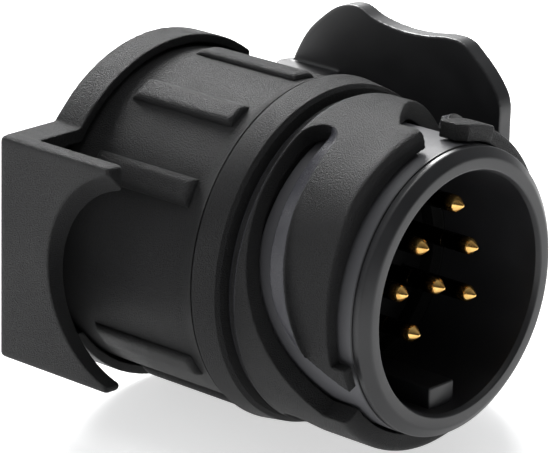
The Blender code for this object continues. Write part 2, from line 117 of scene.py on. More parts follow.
def rounded(corners, steps=5):
    """A closed outline from (u, v, fillet) corners, with each corner turned into an arc."""
    points = []
    for index, (u, v, fillet) in enumerate(corners):
        here = Vector((u, v))
        if fillet == 0.0:
            points.append((u, v))
            continue
        before = (Vector(corners[index - 1][:2]) - here).normalized()
        after = (Vector(corners[(index + 1) % len(corners)][:2]) - here).normalized()
        half = before.angle(after) / 2
        centre = here + (before + after).normalized() * (fillet / math.sin(half))
        start = here + before * (fillet / math.tan(half)) - centre
        end = here + after * (fillet / math.tan(half)) - centre
        first = math.atan2(start.y, start.x)
        sweep = (math.atan2(end.y, end.x) - first + math.pi) % (2 * math.pi) - math.pi
        for step in range(steps + 1):
            angle = first + sweep * step / steps
            points.append((centre.x + fillet * math.cos(angle), centre.y + fillet * math.sin(angle)))
    return points


def lathe(outline, steps=160, closed=True, centre=(0.0, 0.0)):
    """A solid turned about an axis along X, from (depth, radius) points."""
    bm = bmesh.new()
    rings = []
    for depth, radius in outline:
        places = [polar(radius, 360.0 * step / steps) for step in range(steps if radius else 1)]
        rings.append([bm.verts.new((x_at(depth) * MM, (y + centre[0]) * MM, (z + centre[1]) * MM))
                      for y, z in places])
    pairs = list(zip(rings, rings[1:]))
    if closed:
        pairs.append((rings[-1], rings[0]))
    for first, second in pairs:
        for step in range(steps):
            after = (step + 1) % steps
            if len(first) == 1:
                bm.faces.new((first[0], second[after], second[step]))
            elif len(second) == 1:
                bm.faces.new((first[step], first[after], second[0]))
            else:
                bm.faces.new((first[step], first[after], second[after], second[step]))
    bmesh.ops.recalc_face_normals(bm, faces=bm.faces)
    return bm


def swept(start, end, section, steps):
    """A solid along an arc about X: section(angle) gives its corners (depth, radius).

    The steps are closer together near the start, where a slot's rounded end is.
    """
    bm = bmesh.new()
    rings = []
    for step in range(steps + 1):
        angle = start + (end - start) * (step / steps) ** 1.25
        ring = []
        for depth, radius in section(angle):
            y, z = polar(radius, angle)
            ring.append(bm.verts.new((x_at(depth) * MM, y * MM, z * MM)))
        rings.append(ring)
    count = len(rings[0])
    for first, second in zip(rings, rings[1:]):
        for corner in range(count):
            after = (corner + 1) % count
            bm.faces.new((first[corner], first[after], second[after], second[corner]))
    bm.faces.new(rings[0])
    bm.faces.new(reversed(rings[-1]))
    bmesh.ops.triangulate(bm, faces=bm.faces)
    bmesh.ops.recalc_face_normals(bm, faces=bm.faces)
    return bm


def prism(outline, low, high, axis, bevel=0.0):
    """A flat outline made solid: (y, z) along depth for axis "x", (depth, z) along Y for "y"."""
    bm = bmesh.new()
    if axis == "x":
        verts = [bm.verts.new((x_at(low) * MM, y * MM, z * MM)) for y, z in outline]
        travel = Vector(((low - high) * MM, 0.0, 0.0))
    else:
        verts = [bm.verts.new((x_at(depth) * MM, low * MM, z * MM)) for depth, z in outline]
        travel = Vector((0.0, (high - low) * MM, 0.0))
    face = bm.faces.new(verts)
    side = bmesh.ops.extrude_face_region(bm, geom=[face], use_keep_orig=True)
    moved = [item for item in side["geom"] if isinstance(item, bmesh.types.BMVert)]
    bmesh.ops.translate(bm, vec=travel, verts=moved)
    bmesh.ops.recalc_face_normals(bm, faces=bm.faces)
    if bevel > 0.0:
        sharp = [edge for edge in bm.edges if edge.calc_face_angle(0.0) > math.radians(40.0)]
        bmesh.ops.bevel(bm, geom=sharp, offset=bevel * MM, segments=4, profile=0.5,
                        affect='EDGES', clamp_overlap=True)
    return bm


def block(depths, ys, zs, bevel=0.0, turn=0.0):
    """A box with rounded edges, turned about X."""
    outline = [(ys[0], zs[0]), (ys[1], zs[0]), (ys[1], zs[1]), (ys[0], zs[1])]
    bm = prism(outline, depths[0], depths[1], "x", bevel)
    bmesh.ops.rotate(bm, matrix=Matrix.Rotation(math.radians(turn), 3, 'X'), verts=bm.verts)
    return bm


def rod(radius, start, end, segments=40):
    """A cylinder between two points given as (depth, y, z)."""
    tail = Vector((x_at(start[0]), start[1], start[2])) * MM
    head = Vector((x_at(end[0]), end[1], end[2])) * MM
    direction = head - tail
    bm = bmesh.new()
    bmesh.ops.create_cone(bm, cap_ends=True, segments=segments, radius1=radius * MM,
                          radius2=radius * MM, depth=direction.length)
    turn = direction.to_track_quat('Z', 'Y').to_matrix().to_4x4()
    bmesh.ops.transform(bm, matrix=Matrix.Translation((head + tail) / 2) @ turn, verts=bm.verts)
    return bm


def piece(name, bm):
    """A named object made from a bmesh."""
    mesh = bpy.data.meshes.new(name)
    bm.to_mesh(mesh)
    bm.free()
    obj = bpy.data.objects.new(name, mesh)
    scene.collection.objects.link(obj)
    return obj


def unpiece(obj):
    """A piece's mesh to build on with; the piece itself is removed."""
    bm = bmesh.new()
    bm.from_mesh(obj.data)
    bpy.data.objects.remove(obj, do_unlink=True)
    return bm


def settle(obj):
    """Applies every modifier."""
    view = bpy.context.evaluated_depsgraph_get()
    made = bpy.data.meshes.new_from_object(obj.evaluated_get(view))
    old = obj.data
    obj.modifiers.clear()
    obj.data = made
    bpy.data.meshes.remove(old)


def combine(obj, operation, shapes):
    """Joins shapes to obj ('UNION') or cuts them from it ('DIFFERENCE')."""
    tools = []
    for shape in shapes:
        tool = piece("tool", shape)
        modifier = obj.modifiers.new("combine", 'BOOLEAN')
        modifier.operation = operation
        modifier.solver = 'EXACT'
        modifier.object = tool
        tools.append(tool)
    settle(obj)
    for tool in tools:
        mesh = tool.data
        bpy.data.objects.remove(tool, do_unlink=True)
        bpy.data.meshes.remove(mesh)


def join(obj, *shapes):
    combine(obj, 'UNION', shapes)


def cut(obj, *shapes):
    combine(obj, 'DIFFERENCE', shapes)


def mould(obj, voxel=0.2, rounds=5, keep=0.3):
    """Rounds every edge as a moulding's are: a fine remesh, smoothed, with spare faces taken out."""
    remesh = obj.modifiers.new("remesh", 'REMESH')
    remesh.mode = 'VOXEL'
    remesh.voxel_size = voxel * MM
    smooth = obj.modifiers.new("smooth", 'SMOOTH')
    smooth.factor = 0.5
    smooth.iterations = rounds
    thin = obj.modifiers.new("thin", 'DECIMATE')
    thin.ratio = keep
    settle(obj)


def finish_piece(obj, body, mat, nodes, angle=None):
    """Shades a piece, gives it its material, ties it to its body and hides the CAD nodes it replaces."""
    obj.data.materials.clear()
    obj.data.materials.append(mat)
    obj.data.shade_smooth()
    if angle:
        obj.data.set_sharp_from_angle(angle=math.radians(angle))
    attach(obj, body)
    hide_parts(*nodes)


# Materials

class Nodes:
    """Builds a node material with short calls."""

    def __init__(self, name):
        self.mat = bpy.data.materials.new(name)
        self.mat.use_nodes = True
        self.tree = self.mat.node_tree
        self.shader = self.tree.nodes["Principled BSDF"]
        self.where = self.add("ShaderNodeTexCoord")

    def add(self, kind, **values):
        node = self.tree.nodes.new(kind)
        for key, value in values.items():
            setattr(node, key, value)
        return node

    def link(self, source, target):
        self.tree.links.new(source, target)

    def noise(self, size, detail=2.0, roughness=0.5, distortion=0.0):
        """Noise whose features are about size millimetres across."""
        node = self.add("ShaderNodeTexNoise")
        node.inputs["Scale"].default_value = 1.0 / (size * MM)
        node.inputs["Detail"].default_value = detail
        node.inputs["Roughness"].default_value = roughness
        node.inputs["Distortion"].default_value = distortion
        self.link(self.where.outputs["Object"], node.inputs["Vector"])
        return node.outputs["Fac"]

    def spread(self, value, low, high, start=0.0, end=1.0):
        """A value mapped from start..end to low..high, and kept there."""
        node = self.add("ShaderNodeMapRange")
        node.inputs["From Min"].default_value = start
        node.inputs["From Max"].default_value = end
        node.inputs["To Min"].default_value = low
        node.inputs["To Max"].default_value = high
        self.link(value, node.inputs["Value"])
        return node.outputs["Result"]

    def maths(self, operation, first, second):
        node = self.add("ShaderNodeMath", operation=operation)
        for socket, value in zip(node.inputs, (first, second)):
            if isinstance(value, float):
                socket.default_value = value
            else:
                self.link(value, socket)
        return node.outputs[0]

    def radius(self, split):
        """Distance from the connector's axis."""
        squares = [self.maths('POWER', split.outputs[name], 2.0) for name in ("Y", "Z")]
        return self.maths('SQRT', self.maths('ADD', *squares), 0.0)

    def blend(self, share, first, second):
        """A colour between two colours."""
        node = self.add("ShaderNodeMix", data_type='RGBA')
        for socket, colour in ((node.inputs[6], first), (node.inputs[7], second)):
            socket.default_value = (*colour, 1.0)
        self.link(share, node.inputs[0])
        return node.outputs[2]

    def bump(self, height, strength, distance, before=None):
        node = self.add("ShaderNodeBump")
        node.inputs["Strength"].default_value = strength
        node.inputs["Distance"].default_value = distance * MM
        self.link(height, node.inputs["Height"])
        if before:
            self.link(before, node.inputs["Normal"])
        return node.outputs["Normal"]

    def finish(self, colour=None, rough=None, normal=None):
        for name, value in (("Base Color", colour), ("Roughness", rough), ("Normal", normal)):
            if value is not None:
                self.link(value, self.shader.inputs[name])
        return self.mat


def grained_plastic(name="grained_black", ramps=False):
    """Black moulded plastic with a fine spark-eroded grain and a breath of dust.

    With ramps it is smooth where it slopes back, as on the sides of the slots, and there it is also
    painted a paler, bluer grey: a painted highlight where those slopes face the lamp behind.
    """
    grain = 0.13
    n = Nodes(name)
    n.shader.inputs["Specular IOR Level"].default_value = 0.26
    fine = n.noise(grain, detail=3.0, roughness=0.7)
    pits = n.noise(grain * 2.0, detail=2.0)
    height = n.maths('ADD', n.spread(fine, 0.0, 1.0, 0.32, 0.68), n.spread(pits, 0.0, 0.7, 0.3, 0.7))
    cloud = n.noise(9.0, detail=4.0)
    dust = n.spread(n.maths('ADD', fine, n.maths('MULTIPLY', cloud, 0.25)), 0.0, 1.0, 0.52, 0.78)
    colour = n.blend(dust, (0.004, 0.004, 0.00432), (0.030, 0.030, 0.0312))
    rough = n.spread(n.maths('ADD', cloud, n.maths('MULTIPLY', fine, 0.4)), 0.42, 0.56, 0.5, 0.9)
    if ramps:
        split = n.add("ShaderNodeSeparateXYZ")
        n.link(n.where.outputs["Normal"], split.inputs[0])
        place = n.add("ShaderNodeSeparateXYZ")
        n.link(n.where.outputs["Object"], place.inputs[0])
        tilted = n.spread(split.outputs["X"], 1.0, 0.0, -0.22, -0.14)
        ramp = n.maths('MULTIPLY', tilted, n.spread(split.outputs["X"], 0.0, 1.0, -0.8, -0.6))
        ramp = n.maths('MULTIPLY', ramp, n.spread(n.radius(place), 0.0, 1.0, (COLLAR_BORE + 1.2) * MM,
                                                  (COLLAR_BORE + 1.5) * MM))
        # painted highlight: ramps facing back towards the lamp are mixed to a paler, bluer grey; their
        # lower roughness and fainter grain are real
        smooth = n.add("ShaderNodeMix", data_type='RGBA')
        n.link(colour, smooth.inputs[6])
        smooth.inputs[7].default_value = (0.030, 0.030, 0.037, 1.0)
        n.link(ramp, smooth.inputs[0])
        colour = smooth.outputs[2]
        rough = n.maths('MULTIPLY', rough, n.spread(ramp, 1.0, 0.55))
        height = n.maths('MULTIPLY', height, n.spread(ramp, 1.0, 0.06))
    return n.finish(colour, rough, n.bump(height, 1.0, 0.16))


def satin_plastic(name="smooth_black", sleeve_front=None):
    """Black moulded plastic with a smooth satin face, faint flow marks and fine scuffs.

    Outside and behind sleeve_front, a depth, it is painted paler and made duller: the paler grey is
    painted light, standing in for the light the sleeve catches.
    """
    n = Nodes(name)
    cloud = n.noise(7.0, detail=4.0, distortion=0.4)
    speck = n.noise(0.12, detail=2.0)
    colour = n.blend(n.spread(cloud, 0.0, 1.0, 0.35, 0.7), (0.012, 0.012, 0.0132),
                     (0.018, 0.018, 0.0198))
    rough = n.spread(n.maths('ADD', cloud, n.maths('MULTIPLY', speck, 0.5)), 0.36, 0.48, 0.5, 1.0)
    if sleeve_front is not None:
        split = n.add("ShaderNodeSeparateXYZ")
        n.link(n.where.outputs["Object"], split.inputs[0])
        edge = x_at(sleeve_front) * MM
        behind = n.spread(split.outputs["X"], 1.0, 0.0, edge, edge + 0.2 * MM)
        outside = n.spread(n.radius(split), 0.0, 1.0, (SHROUD_BORE + 1.6) * MM, (SHROUD_BORE + 2.0) * MM)
        sleeve = n.maths('MULTIPLY', behind, outside)
        # painted light: the sleeve is mixed to a paler grey that stands in for the light falling on it
        sleeve_painted_light = n.add("ShaderNodeMix", data_type='RGBA')
        n.link(colour, sleeve_painted_light.inputs[6])
        sleeve_painted_light.inputs[7].default_value = (0.080, 0.080, 0.086, 1.0)
        n.link(sleeve, sleeve_painted_light.inputs[0])
        colour = sleeve_painted_light.outputs[2]
        rough = n.maths('MULTIPLY', rough, n.spread(sleeve, 1.0, 1.35))
    wave = n.bump(cloud, 0.12, 0.10)
    return n.finish(colour, rough, n.bump(speck, 0.16, 0.01, before=wave))


def insulator_plastic():
    """Dull, nearly black plastic, its black deepened as painted shade of the dark inside of the shroud.
    """
    n = Nodes("insulator")
    n.shader.inputs["Specular IOR Level"].default_value = 0.12
    grain = n.noise(0.4, detail=3.0)
    # painted shade: these colours sit below the part's own black, for the shade inside the shroud
    colour = n.blend(grain, (0.002, 0.002, 0.002), (0.004, 0.004, 0.004))
    return n.finish(colour, n.spread(grain, 0.6, 0.75), n.bump(grain, 0.2, 0.02))


def plated_metal(name, pale, deep, rough, shaded_from=None):
    """Plated metal with turning marks and slight tarnish, painted almost black behind a depth if one is
    given: painted shade of the dark inside of the shroud.
    """
    n = Nodes(name)
    n.shader.inputs["Metallic"].default_value = 1.0
    patch = n.noise(0.9, detail=4.0)
    marks = n.noise(0.05, detail=1.0)
    colour = n.blend(n.spread(patch, 0.0, 1.0, 0.4, 0.75), pale, deep)
    uneven = n.spread(n.maths('ADD', patch, n.maths('MULTIPLY', marks, 0.4)), rough,
                      rough + 0.14, 0.45, 0.95)
    # painted shade: behind the given depth the colour fades to near black, for the shade deep inside the
    # shroud
    if shaded_from is not None:
        split = n.add("ShaderNodeSeparateXYZ")
        n.link(n.where.outputs["Object"], split.inputs[0])
        unshaded = n.spread(split.outputs["X"], 0.0, 1.0, x_at(shaded_from + 1.2) * MM, x_at(shaded_from) * MM)
        painted_shade = n.add("ShaderNodeMix", data_type='RGBA')
        painted_shade.inputs[6].default_value = (0.012, 0.009, 0.006, 1.0)
        n.link(colour, painted_shade.inputs[7])
        n.link(unshaded, painted_shade.inputs[0])
        colour = painted_shade.outputs[2]
    return n.finish(colour, uneven, n.bump(marks, 0.25, 0.004))


def rubber_material():
    """Matt black rubber."""
    n = Nodes("seal_rubber")
    grain = n.noise(0.3, detail=3.0)
    colour = n.blend(grain, (0.010, 0.010, 0.010), (0.020, 0.020, 0.020))
    return n.finish(colour, n.spread(grain, 0.75, 0.9), n.bump(grain, 0.3, 0.03))


def lead_insulation(name, colour):
    """Extruded insulation, slightly mottled."""
    n = Nodes(name)
    patch = n.noise(1.5, detail=3.0)
    deep = tuple(0.8 * part for part in colour)
    return n.finish(n.blend(patch, deep, colour), n.spread(patch, 0.34, 0.46),
                    n.bump(patch, 0.1, 0.02))


# Plug insert

def make_shroud(mat):
    """The plug's shroud: a rounded lip, a fine line cut behind it, and the key at the bottom."""
    hub, hub_bore, seat, rear, end = 16.6, 14.0, 15.9, 18.4, 29.0
    groove, groove_front, groove_rear = 15.9, 27.2, 28.4
    line, line_front, line_rear = SHROUD_OUTER - 0.22, MOUTH + 1.75, MOUTH + 2.1
    key_front, key_half_width, key_crest = 2.3, 2.5, 13.0
    corners = [(MOUTH, SHROUD_BORE + 0.35, 0.3), (MOUTH, SHROUD_OUTER - 1.3, 0.9),
               (MOUTH + 1.0, SHROUD_OUTER, 0.45), (line_front, SHROUD_OUTER, 0.06),
               (line_front, line, 0.04), (line_rear, line, 0.04),
               (line_rear, SHROUD_OUTER, 0.06), (rear, SHROUD_OUTER, 0.2), (rear, hub, 0.2),
               (groove_front, hub, 0.05), (groove_front, groove, 0.05),
               (groove_rear, groove, 0.05), (groove_rear, hub, 0.05), (end, hub, 0.2),
               (end, hub_bore, 0.2), (seat, hub_bore, 0.1), (seat, SHROUD_BORE, 0.2),
               (MOUTH + 0.7, SHROUD_BORE, 0.4)]
    shroud = piece("shroud", lathe(rounded(corners), steps=224))
    key = block((key_front, seat - 0.4), (-key_half_width, key_half_width),
                (-SHROUD_BORE - 0.8, -key_crest), bevel=0.3)
    join(shroud, key)
    finish_piece(shroud, "plug_insert", mat, ["plug_shroud"], angle=40)


def seats():
    """Centres (y, z) of the seven contact pins."""
    places = []
    for number in range(1, 8):
        low, high = extent(f"contact_pin_{number}")
        places.append(((low.y + high.y) / 2, (low.z + high.z) / 2))
    return places


def make_pins(mat):
    """Turned pins: a chamfered point, a polished shank and a stepped tail."""
    radius, tail, shoulder = 1.15, 0.8, 26.3
    tip = LENGTH - extent("contact_pin_1")[1].x
    end = LENGTH - extent("contact_pin_1")[0].x
    corners = [(tip + 0.01, 0.10), (tip + 0.06, 0.20), (tip + 0.95, 0.97), (tip + 1.1, 1.07),
               (tip + 1.35, radius), (tip + 4.9, radius), (tip + 5.0, radius - 0.07),
               (tip + 5.3, radius - 0.07), (tip + 5.4, radius), (shoulder, radius),
               (shoulder, tail), (end, tail)]
    outline = [(tip, 0.0), *corners, (end, 0.0)]
    for number, place in enumerate(seats(), 1):
        pin = piece(f"pin_{number}", lathe(outline, steps=40, closed=False, centre=place))
        finish_piece(pin, "plug_insert", mat, [f"contact_pin_{number}"], angle=30)


def make_carrier(mat):
    """The insulator: a sunk ring round each pin, and blind cavities where no pin is fitted."""
    front, step, rear = 12.6, 15.6, 26.0
    corners = [(front, 15.7, 0.4), (step, 15.7, 0.2), (step, 13.7, 0.1), (rear, 13.7, 0.3)]
    outline = [(front, 0.0), *rounded(corners, steps=3), (rear, 0.0)]
    carrier = piece("carrier", lathe(outline, steps=128, closed=False))
    ring_radius, ring_rear = 2.0, front + 0.6
    pin_bore, blind_bore, blind_rear = 1.24, 1.3, front + 2.5
    key_room = block((front - 1.0, step + 0.2), (-2.8, 2.8), (-17.0, -12.7))
    shapes = [key_room]
    for y, z in seats():
        shapes.append(rod(ring_radius, (front - 1.0, y, z), (ring_rear, y, z)))
        shapes.append(rod(pin_bore, (front, y, z), (rear + 1.0, y, z)))
    blind = [(7.2, 76.0), (7.2, 283.0), (10.9, 113.0), (10.9, 150.0), (10.9, 200.0), (10.9, 30.0)]
    for radius, angle in blind:
        y, z = polar(radius, angle)
        shapes.append(rod(blind_bore, (front - 1.0, y, z), (blind_rear, y, z)))
    cut(carrier, *shapes)
    finish_piece(carrier, "plug_insert", mat, ["pin_carrier"], angle=35)


# Bayonet collar

SLOTS = 3
SLOT_END, SLOT_MOUTH, SLOT_EXIT = 111.7, 208.3, 220.3   # first slot, in degrees
TAPER_START = 133.7
LUG_FRONT = 1.6
LUG_START, LUG_END = 195.5, 211.3                       # low lug on the plate's side
NOSE_START, NOSE_TURN, NOSE_END = 68.8, 83.6, 86.7      # slanted lug at the top
PARTING_LINE = 68.6                                     # fine line beside that lug
BLOCK_END_RADIUS = COLLAR_OUTER - 1.1


def slot_edges(angle):
    """Depths of a slot's front edge, of the foot of its ramp and of its rear edge."""
    along = (angle - SLOT_END) / (SLOT_MOUTH - SLOT_END)
    foot = 15.0 - 16.5 * along ** 5.5 if along < 1.0 else -1.5
    front = min(12.8 - 8.0 * along ** 2.2, foot - 0.4)
    rear = 18.6 - 7.5 * along ** 3.2
    rounding = min(max((angle - SLOT_END) / 8.0, 0.02), 1.0)
    width = math.sqrt(1.0 - (1.0 - rounding) ** 2)
    middle = 15.8
    if rounding < 1.0:
        front, foot, rear = (middle + (depth - middle) * width for depth in (front, foot, rear))
    return front, foot, rear


def slot_section(angle):
    """Across a slot: an open channel whose front wall has a ramp at its top."""
    front, foot, rear = slot_edges(angle)
    inner, ramp, outer = COLLAR_BORE - 1.0, COLLAR_OUTER - 0.9, COLLAR_OUTER + 1.5
    lean = (foot - front) * 1.6
    return [(foot, inner), (foot, ramp), (front - lean, outer), (rear, outer), (rear, inner)]


def taper_section(angle):
    """What is taken off a block's outside so that it gets lower towards its end."""
    start_radius = COLLAR_OUTER + 0.02
    along = (angle - TAPER_START) / (SLOT_MOUTH - TAPER_START)
    radius = start_radius - (start_radius - BLOCK_END_RADIUS) * along
    front = slot_edges(min(angle, SLOT_MOUTH - 4.0))[0] + 0.4
    return [(-1.0, radius), (-1.0, radius + 3.0), (front, radius + 3.0), (front, radius)]


def lug_section(angle):
    """Across the low lug, which is the same all along: its front edge is chamfered."""
    inner, outer, rear = COLLAR_BORE + 0.15, COLLAR_OUTER - 0.2, 6.0
    return [(LUG_FRONT, inner), (LUG_FRONT, outer - 0.9), (LUG_FRONT + 0.5, outer), (rear, outer),
            (rear, inner)]


def nose_section(angle):
    """Across the top lug, whose front face slants back towards its end."""
    inner, outer, rear = COLLAR_BORE - 0.08, COLLAR_OUTER - 0.4, 5.5
    slant = max(0.0, (angle - NOSE_TURN) / (NOSE_END - NOSE_TURN))
    front = LUG_FRONT + slant
    edge = 0.3 + 0.5 * max(0.0, (angle - NOSE_END + 2.0) / 2.0)
    return [(front, inner), (front, outer - edge), (front + 0.3, outer), (rear, outer), (rear, inner)]


def make_collar(mat):
    """The collar with three helical slots, blocks that get lower, and two lugs in front of it."""
    neck, spigot, spigot_rear = 16.95, 19.0, 26.9
    shoulder, shoulder_rear, bore_rear = COLLAR_OUTER - 0.6, 20.3, 18.8
    groove, groove_front, groove_rear = spigot - 1.0, 23.0, 24.6
    corners = [(COLLAR_FRONT, COLLAR_OUTER, 1.3), (COLLAR_REAR, COLLAR_OUTER, 0.2),
               (COLLAR_REAR, shoulder, 0.0), (shoulder_rear, shoulder, 0.1),
               (shoulder_rear, spigot, 0.0), (groove_front, spigot, 0.0),
               (groove_front, groove, 0.0), (groove_rear, groove, 0.0),
               (groove_rear, spigot, 0.0), (spigot_rear, spigot, 0.0), (spigot_rear, neck, 0.0),
               (bore_rear, neck, 0.0), (bore_rear, COLLAR_BORE, 0.0),
               (COLLAR_FRONT, COLLAR_BORE, 0.0)]
    collar = piece("collar", lathe(rounded(corners), steps=270))
    join(collar, swept(LUG_START, LUG_END, lug_section, 12))
    cutters = [(SLOT_END, SLOT_EXIT, slot_section, 90),
               (TAPER_START, SLOT_EXIT - 5.0, taper_section, 60)]
    for start, end, section, steps in cutters:
        for index in range(SLOTS):
            shape = swept(start, end, section, steps)
            turn = Matrix.Rotation(math.radians(360.0 / SLOTS * index), 3, 'X')
            bmesh.ops.rotate(shape, matrix=turn, verts=shape.verts)
            cut(collar, shape)
    join(collar, swept(NOSE_START, NOSE_END, nose_section, 40))
    cut(collar, block((1.0, 4.4), (COLLAR_BORE, COLLAR_OUTER + 1.0), (-0.07, 0.07),
                      turn=PARTING_LINE))
    mould(collar, voxel=0.17, rounds=4, keep=0.3)
    finish_piece(collar, "housing", mat, ["bayonet_collar"])


# Housing

def make_flange(mat):
    """The ring between the collar and the barrel, its front edge eased twice."""
    bore, spigot, spigot_rear = 19.2, 20.3, 27.6
    corners = [(FLANGE_FRONT, FLANGE_OUTER - 1.1, 0.15), (FLANGE_FRONT + 0.4, FLANGE_OUTER - 0.5, 0.2),
               (FLANGE_REAR, FLANGE_OUTER, 0.1), (FLANGE_REAR, spigot, 0.1),
               (spigot_rear, spigot, 0.1), (spigot_rear, bore, 0.1), (FLANGE_FRONT, bore, 0.3)]
    flange = piece("flange_ring", lathe(rounded(corners), steps=256))
    finish_piece(flange, "housing", mat, ["front_housing"], angle=50)


RIB_ANGLES = [52.0, 85.8, 118.9, 150.4, 215.7, 248.4, 281.1, 313.9]
RIB_HALF_WIDTH = 1.95
RIB_FRONT, RIB_REAR = 28.8, 46.5
FLARE_END = 28.6


def ease(distance, width):
    """0 at an edge, 1 at width inside it, along a quarter of an ellipse."""
    share = min(max(distance / width, 0.0), 1.0)
    return math.sqrt(1.0 - (1.0 - share) ** 2.4)


def barrel_radius(depth, across):
    """Outside radius of the barrel: flare at the front, and a rounded rib at across millimetres."""
    flare = max(0.0, (FLARE_END - depth) / (FLARE_END - BARREL_FRONT))
    base = BARREL_OUTER + (FLANGE_OUTER - 0.15 - BARREL_OUTER) * flare ** 2.2
    height = (RIB_CREST - 0.25 - BARREL_OUTER) * ease(RIB_HALF_WIDTH - abs(across), 1.15)
    height *= ease(depth - RIB_FRONT, 1.0) * ease(RIB_REAR - depth, 1.8)
    return base + height


def barrel_columns():
    """Angles round the barrel with their distance from the nearest rib, close at rib edges."""
    offsets = [RIB_HALF_WIDTH * 1.12]
    for step in range(8):
        offsets.append(RIB_HALF_WIDTH - 1.1 * (step / 7) ** 2)
    offsets.append(0.4)
    columns = []
    for angle, following in zip(RIB_ANGLES, RIB_ANGLES[1:] + [RIB_ANGLES[0] + 360.0]):
        for across in [-v for v in offsets] + offsets[::-1]:
            columns.append((angle + math.degrees(across / BARREL_OUTER), across))
        start = columns[-1][0]
        end = following - math.degrees(offsets[0] / BARREL_OUTER)
        gaps = max(4, int((end - start) / 3.0))
        for step in range(1, gaps):
            columns.append((start + (end - start) * step / gaps, 9.0))
    return columns


def make_barrel(mat):
    """The grip: one skin whose height over the cylinder holds the flare and eight ribs."""
    depths = [BARREL_FRONT + 3.0 * (step / 9) ** 1.3 for step in range(10)]
    depths += [RIB_FRONT + 1.1 * (step / 7) ** 2 for step in range(8)]
    depths += [31.0 + 1.4 * step for step in range(10)]
    depths += [RIB_REAR - 1.9 * (1 - step / 8) ** 2 for step in range(9)]
    depths += [47.5, 49.0, 50.5]
    columns = barrel_columns()
    rows = [[(depth, barrel_radius(depth, across)) for _, across in columns] for depth in depths]
    wall_front, wall_rear, wall_bore = 36.6, 39.3, 17.0
    spigot_bore, spigot_rear = 20.6, 28.4
    inside = [(BARREL_REAR, BARREL_OUTER, 0.3), (BARREL_REAR, BARREL_BORE, 0.3),
              (wall_rear, BARREL_BORE, 0.1), (wall_rear, wall_bore, 0.1),
              (wall_front, wall_bore, 0.1), (wall_front, BARREL_BORE, 0.1),
              (spigot_rear, BARREL_BORE, 0.1), (spigot_rear, spigot_bore, 0.1),
              (BARREL_FRONT, spigot_bore, 0.0)]
    rows += [[point] * len(columns) for point in rounded(inside, steps=3)]
    bm = bmesh.new()
    rings = []
    for row in rows:
        ring = []
        for (angle, _), (depth, radius) in zip(columns, row):
            y, z = polar(radius, angle)
            ring.append(bm.verts.new((x_at(depth) * MM, y * MM, z * MM)))
        rings.append(ring)
    count = len(rings[0])
    for first, second in zip(rings, rings[1:] + rings[:1]):
        for step in range(count):
            after = (step + 1) % count
            bm.faces.new((first[step], first[after], second[after], second[step]))
    bmesh.ops.recalc_face_normals(bm, faces=bm.faces)
    barrel = piece("barrel", bm)
    finish_piece(barrel, "housing", mat, ["grip_barrel"], angle=62)


EAR_INNER, EAR_OUTER = 11.6, 15.4               # hinge ears of the wing, from the middle
KNUCKLE_INNER, KNUCKLE_OUTER = 3.9, 11.2        # knuckles of the lid, between them
KNUCKLE_RADIUS = 2.4
HINGE_BORE = 1.18                               # radius of the hole for the hinge pin


def wing_outline():
    """The wing from the side, (depth, z): a waved edge, the same above and below."""
    half = [(14.5, 13.3), (14.7, 17.0), (15.7, 18.9), (19.8, 22.9), (21.3, 23.9), (23.5, 24.2),
            (28.8, 23.6), (33.0, 23.6), (36.8, 24.2), (41.1, WING_TOP), (46.9, 22.3),
            (51.0, 16.8), (52.2, 12.6)]
    outline = half + [(depth, -z) for depth, z in reversed(half)]
    curve = bpy.data.curves.new("wing_outline", 'CURVE')
    spline = curve.splines.new('BEZIER')
    spline.bezier_points.add(len(outline) - 1)
    for point, (depth, z) in zip(spline.bezier_points, outline):
        point.co = (depth, z, 0.0)
        point.handle_left_type = 'AUTO'
        point.handle_right_type = 'AUTO'
    spline.resolution_u = 7
    spline.use_cyclic_u = True
    guide = bpy.data.objects.new("wing_outline", curve)
    scene.collection.objects.link(guide)
    view = bpy.context.evaluated_depsgraph_get()
    mesh = bpy.data.meshes.new_from_object(guide.evaluated_get(view))
    points = [(vert.co.x, vert.co.y) for vert in mesh.vertices]
    bpy.data.objects.remove(guide, do_unlink=True)
    top = max(z for _, z in points)
    return [(depth, z * min(1.0, WING_TOP / top)) for depth, z in points]


def make_wing(mat):
    """The wing with its hinge ears and the pad that sits on the barrel."""
    wing_inner = WING_OUTER - 2.7
    pad_front, pad_rear, pad_half_width = 31.0, 44.0, 8.5
    ear_front, notch_front = 43.0, 46.2
    wing = piece("wing", prism(wing_outline(), wing_inner, WING_OUTER, "y"))
    pad = piece("wing_pad", block((pad_front, pad_rear), (20.0, wing_inner + 0.5),
                                  (-pad_half_width, pad_half_width)))
    cut(pad, rod(BARREL_OUTER + GAP, (20.0, 0.0, 0.0), (60.0, 0.0, 0.0), segments=128))
    shapes = []
    for side in (-1, 1):
        low, high = sorted((side * EAR_INNER, side * EAR_OUTER))
        shapes.append(block((ear_front, HINGE_DEPTH), (HINGE_Y - 2.2, wing_inner + 0.5),
                            (low, high)))
        shapes.append(rod(KNUCKLE_RADIUS, (HINGE_DEPTH, HINGE_Y, low), (HINGE_DEPTH, HINGE_Y, high)))
    join(wing, unpiece(pad), *shapes)
    cut(wing, block((notch_front, 60.0), (20.0, 30.0), (-EAR_INNER, EAR_INNER)),
        rod(HINGE_BORE, (HINGE_DEPTH, HINGE_Y, -20.0), (HINGE_DEPTH, HINGE_Y, EAR_OUTER - 0.8)))
    mould(wing, voxel=0.19, rounds=4, keep=0.25)
    finish_piece(wing, "housing", mat, ["wing_bracket"])


# Lid

def lid_outline(radius, left, top, bottom):
    """The lid seen from behind, (y, z): a round end with a square box beside it."""
    steps = 120
    start = 180.0 - math.degrees(math.asin(top / radius))
    end = math.degrees(math.asin(-bottom / radius)) - 180.0
    points = []
    for step in range(steps + 1):
        points.append(polar(radius, start - (start - end) * step / steps))
    return points + [(left, bottom), (left, top)]


